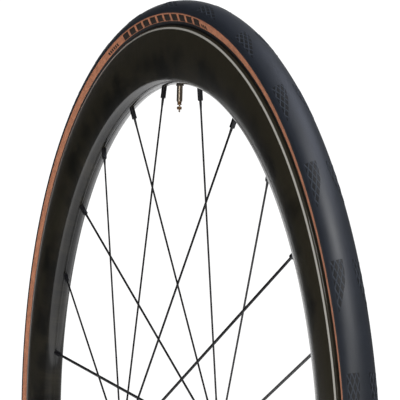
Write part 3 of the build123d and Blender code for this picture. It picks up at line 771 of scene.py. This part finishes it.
class WHEEL_OT_rim(bpy.types.Operator):
    """Make the deep rim as a hollow shell with rounded edges."""
    bl_idname = "wheel.rim"
    bl_label = "Rim"

    def execute(self, context):
        settings, steps = context.scene.wheel_settings, context.scene.tire_settings.ring_steps
        shoulder = RIM_TOP - settings.shoulder_drop
        seat_width, well_half, well_depth = 3.4 * MM, 4.2 * MM, 1.7 * MM
        seam_depth, seam_half, seam_lip = 0.3 * MM, 0.4 * MM, 0.02 * MM
        side_wall, nose_wall, roof_wall = 1.6 * MM, 2.6 * MM, 1.7 * MM
        well = BEAD_SEAT - well_depth
        nose = settings.nose_radius
        half = shell_line(NOSE_TIP + nose, nose, RIM_HALF, shoulder, 16)
        half[:1] = [Vector((NOSE_TIP + seam_depth, 0)), Vector((NOSE_TIP + seam_lip, seam_half))]
        half += [Vector((RIM_TOP, RIM_EDGE)), Vector((RIM_TOP, RIM_WALL)), Vector((BEAD_SEAT, RIM_WALL))]
        half += [Vector((BEAD_SEAT, RIM_WALL - seat_width)), Vector((well, well_half)), Vector((well, 0))]
        bm = spun_ring(both_sides(half), steps)
        soften(bm, 0.3 * MM, math.radians(20), 3)
        hollow_nose = nose - side_wall
        roof = well - roof_wall
        hollow = shell_line(NOSE_TIP + nose_wall + hollow_nose, hollow_nose, RIM_HALF - side_wall, roof, 8)
        join(bm, spun_ring(both_sides(hollow + [Vector((roof, 0))]), steps // 2, hollow=True))
        new_piece("rim_shell", bm, carbon_laminate(), "wheel", "carbon_rim", "rim")
        return {"FINISHED"}


class WHEEL_OT_spokes(bpy.types.Operator):
    """Finish the spokes, the nipples and the rim tape."""
    bl_idname = "wheel.spokes"
    bl_label = "Spokes and nipples"

    def execute(self, context):
        spokes = [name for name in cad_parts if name.startswith("spoke_")]
        dress(coated("stainless steel, black oxide", "#070708", "#121214", 0.4), *spokes)
        dress(coated("aluminium, black anodised", "#070709", "#131216", 0.36),
              "nipples_left", "nipples_right")
        dress(black_rubber("rim tape, polyester film", "#B08D1E", 0.3), "rim_tape")
        return {"FINISHED"}


# ------------------------------------------------------------------ the valve

def on_valve(bm):
    """Turn a piece made along Z so that it lies on the valve's axis."""
    turn = Matrix.Rotation(math.pi / 2 - VALVE_ANGLE, 4, "Y")
    bmesh.ops.transform(bm, matrix=turn, verts=bm.verts)
    return bm


def knurled(low, high, radius, bore, teeth, depth):
    """Round nut with grip teeth: a ring whose outer wall is cut by grooves along the axis."""
    steps = 4 * teeth
    edge = 0.18 * (high - low)
    outline = [(low, bore), (low, radius - edge), (low + edge, radius), (high - edge, radius)]
    outline += [(high, radius - edge), (high, bore)]
    bm = lathe(outline, steps)
    for vert in bm.verts:
        around = math.atan2(vert.co.y, vert.co.x)
        if math.hypot(vert.co.x, vert.co.y) > radius - edge * 0.5:
            wave = 1 - depth / radius * (0.5 - 0.5 * math.cos(teeth * around))
            vert.co.x *= wave
            vert.co.y *= wave
    return bm


class WHEEL_OT_valve(bpy.types.Operator):
    """Make the valve's stem, core, nuts and pin."""
    bl_idname = "wheel.valve"
    bl_label = "Valve"

    def execute(self, context):
        settings = context.scene.wheel_settings
        brass = metal("brass, bronze tinted", shade(settings.brass_colour, 0.72), settings.brass_colour, 0.3)
        dark_brass = metal("brass, tarnished", "#4A3A2C", "#86694D", 0.38)
        stem_end, stem_top = valve_reach("valve_stem")
        nut_base, nut_top = valve_reach("valve_ring_nut")
        neck = max((v.co - VALVE_AXIS * v.co.dot(VALVE_AXIS)).length
                   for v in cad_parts["valve_stem"].data.vertices
                   if v.co.dot(VALVE_AXIS) < nut_base - 0.5 * MM)
        core_end, core_top = valve_reach("valve_core")
        core = valve_radius("valve_core")
        thread = neck + 0.35 * MM
        pitch = settings.thread_pitch
        bore = core + 0.03 * MM
        head = stem_top - 1.0 * MM
        outline = [(stem_end, bore), (stem_end, neck - 0.15 * MM), (stem_end + 0.15 * MM, neck)]
        outline.append((nut_base, neck))
        turns = int((head - nut_base) / pitch)
        for turn in range(turns):
            outline.append((nut_base + (turn + 0.15) * pitch, thread))
            outline.append((nut_base + (turn + 0.65) * pitch, thread - 0.25 * MM))
        foot = valve_radius("valve_stem")
        outline += [(head, thread), (head, foot), (stem_top, foot), (stem_top, bore)]
        new_piece("valve_stem_body", on_valve(lathe(outline, 40)), brass, "wheel", "valve_brass",
                  "valve_stem")

        shown = stem_end - core_end
        pin_hole = valve_radius("valve_lock_nut") * 0.46
        outline = [(core_end, pin_hole), (core_end, core * 0.86), (core_end + 0.1 * shown, core)]
        outline += [(core_end + 0.34 * shown, core), (core_end + 0.42 * shown, core * 0.84)]
        outline += [(core_end + 0.62 * shown, core * 0.84), (core_end + 0.7 * shown, core)]
        outline += [(core_top, core), (core_top, pin_hole)]
        new_piece("valve_core_body", on_valve(lathe(outline, 32)), dark_brass, "wheel", "valve_brass",
                  "valve_core")

        black_brass = coated("brass, blackened", "#1F1A14", "#4A4034", 0.4)
        ring_radius = 0.88 * valve_radius("valve_ring_nut")
        ring = knurled(nut_base, nut_top, ring_radius, thread, 22, 0.12 * MM)
        new_piece("valve_ring_nut_body", on_valve(ring), black_brass, "wheel", "valve_brass",
                  "valve_ring_nut")

        low, high = valve_reach("valve_lock_nut")
        nut = knurled(low, high, valve_radius("valve_lock_nut"), pin_hole, 12, 0.16 * MM)
        new_piece("valve_lock_nut_body", on_valve(nut), dark_brass, "valve_lock_nut", "valve_brass",
                  "valve_lock_nut")
        dress(brass, "valve_pin")
        return {"FINISHED"}


# ------------------------------------------------------------------ the hub

class WHEEL_OT_hub(bpy.types.Operator):
    """Finish the hub, the axle and the bearings."""
    bl_idname = "wheel.hub"
    bl_label = "Hub"

    def execute(self, context):
        anodised = coated("aluminium, black anodised and turned", "#101013", "#202125", 0.32, 1.2)
        dress(anodised, "hub_shell", "end_cap_left", "end_cap_right")
        dress(metal("aluminium, turned", "#A9ABAF", "#D6D8DB", 0.3, 1.5, (1, 6, 1)), "axle")
        steel = metal("bearing steel, ground", "#8E9094", "#C9CBCE", 0.18, 2.0)
        for side_name, _ in SIDES:
            dress(steel, f"bearing_inner_race_{side_name}", f"bearing_outer_race_{side_name}",
                  f"bearing_balls_{side_name}")
        dress(coated("nylon, moulded brown", "#3B2E20", "#5A4733", 0.5),
              "bearing_cage_left", "bearing_cage_right")
        dress(black_rubber("seal rubber, moulded", "#141414", 0.5),
              "bearing_seal_left", "bearing_seal_right")
        return {"FINISHED"}


# ------------------------------------------------------------------ the stage

def area_light(name, place, size, power, aim, colour="#FFFFFF"):
    """Soft square light at a place, facing a point."""
    light = bpy.data.lights.new(name, "AREA")
    light.size = size
    light.energy = power
    light.color = hex_colour(colour)[:3]
    lamp = bpy.data.objects.new(name, light)
    lamp.matrix_world = (Matrix.Translation(place)
                         @ (Vector(place) - Vector(aim)).to_track_quat("Z", "Y").to_matrix().to_4x4())
    bpy.context.scene.collection.objects.link(lamp)


class WHEEL_OT_stage(bpy.types.Operator):
    """Set up the white floor, the surround, the lights and the camera."""
    bl_idname = "wheel.stage"
    bl_label = "Stage"

    def execute(self, context):
        scene, settings = context.scene, context.scene.stage_settings
        bm = bmesh.new()
        bmesh.ops.create_circle(bm, cap_ends=True, segments=96, radius=settings.floor_radius)
        bmesh.ops.translate(bm, verts=bm.verts, vec=(0, 0, -TIRE_TOP - 0.5 * MM))
        mesh = bpy.data.meshes.new("floor")
        bm.to_mesh(mesh)
        bm.free()
        floor_paper, tree, shader = new_material("studio paper, white", Emission_Color=(1, 1, 1, 1))
        from_centre = add_node(tree, "ShaderNodeVectorMath", {"operation": "LENGTH"},
                               {0: place_in_mm(tree)}).outputs["Value"]
        glow = add_node(tree, "ShaderNodeMapRange", {"interpolation_type": "SMOOTHSTEP"}, {
            "Value": from_centre, "From Min": 0.4 * settings.floor_radius / MM,
            "From Max": 0.95 * settings.floor_radius / MM, "To Min": 0.15, "To Max": 0.9}).outputs["Result"]
        tree.links.new(glow, shader.inputs["Emission Strength"])
        tint = grain(tree, 0.01, 2)
        finish(tree, shader, tint, ((0.2, "#FAFAFA"), (0.8, "#FEFEFE")), tint, (0.9, 0.9))
        mesh.materials.append(floor_paper)
        floor = bpy.data.objects.new("floor", mesh)
        scene.collection.objects.link(floor)

        world = bpy.data.worlds.new("white studio")
        world.use_nodes = True
        scene.world = world
        tree = world.node_tree
        tree.nodes.clear()
        to_dark_side = Vector((-0.86, -0.42, -0.1)).normalized()
        to_lit_back = Vector((-0.92, 0.37, -0.12)).normalized()
        direction = add_node(tree, "ShaderNodeTexCoord").outputs["Generated"]
        dark_side = add_node(tree, "ShaderNodeVectorMath", {"operation": "DOT_PRODUCT"},
                             {0: direction, 1: to_dark_side}).outputs["Value"]
        dimmed = add_node(tree, "ShaderNodeMapRange", {"interpolation_type": "SMOOTHSTEP"}, {
            "Value": dark_side, "From Min": 0.2, "From Max": 0.85,
            "To Min": 1.0, "To Max": 0.06}).outputs["Result"]
        behind = add_node(tree, "ShaderNodeVectorMath", {"operation": "DOT_PRODUCT"},
                          {0: direction, 1: to_lit_back}).outputs["Value"]
        lit_back = add_node(tree, "ShaderNodeMapRange", {"interpolation_type": "SMOOTHSTEP"}, {
            "Value": behind, "From Min": 0.86, "From Max": 0.96,
            "To Min": 0.0, "To Max": settings.backdrop}).outputs["Result"]
        seen = add_node(tree, "ShaderNodeLightPath").outputs["Is Camera Ray"]
        given = add_node(tree, "ShaderNodeMath", {"operation": "MULTIPLY_ADD"},
                         {0: dimmed, 1: settings.world_strength, 2: lit_back}).outputs[0]
        level = add_node(tree, "ShaderNodeMix", {"data_type": "FLOAT"},
                         {0: seen, 2: given, 3: settings.backdrop}).outputs[0]
        background = add_node(tree, "ShaderNodeBackground", sockets={
            "Color": (1, 1, 1, 1), "Strength": level})
        add_node(tree, "ShaderNodeOutputWorld", sockets={"Surface": background.outputs[0]})

        area_light("key light", (1.2, -0.5, 1.85), 0.8, 46, (0.15, 0, 0.2))
        area_light("edge light", (1.5, -1.2, 0.45), 0.4, 11, (0.1, 0, 0.2))
        area_light("top light", (0.1, 0.5, 1.7), 0.9, 12, (0, 0, 0.3), "#E6ECFF")
        scene.view_settings.view_transform = "Standard"

        azimuth, elevation = settings.camera_azimuth, settings.camera_elevation
        eye = settings.camera_distance * Vector((
            math.sin(azimuth) * math.cos(elevation), -math.cos(azimuth) * math.cos(elevation),
            math.sin(elevation)))
        ahead = (Vector(settings.camera_aim) - eye).normalized()
        right = ahead.cross(Vector((0, 0, 1))).normalized()
        up = right.cross(ahead)
        cosine, sine = math.cos(settings.camera_roll), math.sin(settings.camera_roll)
        columns = (cosine * right + sine * up, cosine * up - sine * right, -ahead)
        turn = Matrix(columns).transposed().to_4x4()
        lens = bpy.data.cameras.new("camera")
        lens.lens, lens.sensor_width = settings.lens, 36
        lens.clip_end = 50
        camera = bpy.data.objects.new("camera", lens)
        camera.matrix_world = Matrix.Translation(eye) @ turn
        scene.collection.objects.link(camera)
        scene.camera = camera
        return {"FINISHED"}


# ------------------------------------------------------------------ add-on

STEPS = (WHEEL_OT_stage, WHEEL_OT_tread, WHEEL_OT_grip_patches, WHEEL_OT_sidewalls, WHEEL_OT_label,
         WHEEL_OT_tire_inside, WHEEL_OT_rim, WHEEL_OT_spokes, WHEEL_OT_valve, WHEEL_OT_hub)


class WHEEL_PT_pieces(bpy.types.Panel):
    """Lists the wheel's pieces and the stage."""
    bl_label = "Wheel"
    bl_space_type = "VIEW_3D"
    bl_region_type = "UI"
    bl_category = "Wheel"

    def draw(self, context):
        for step in STEPS:
            self.layout.operator(step.bl_idname)


GROUPS = {"tire_settings": TireSettings, "wheel_settings": WheelSettings, "stage_settings": StageSettings}


def register():
    for group in GROUPS.values():
        bpy.utils.register_class(group)
    for name, group in GROUPS.items():
        setattr(bpy.types.Scene, name, bpy.props.PointerProperty(type=group))
    for step in STEPS + (WHEEL_PT_pieces,):
        bpy.utils.register_class(step)


def unregister():
    for step in reversed(STEPS + (WHEEL_PT_pieces,)):
        bpy.utils.unregister_class(step)
    for name, group in GROUPS.items():
        delattr(bpy.types.Scene, name)
        bpy.utils.unregister_class(group)


def main():
    """Build every piece and the stage."""
    register()
    for step in STEPS:
        group, name = step.bl_idname.split(".")
        getattr(getattr(bpy.ops, group), name)()


if __name__ == "__main__":
    main()
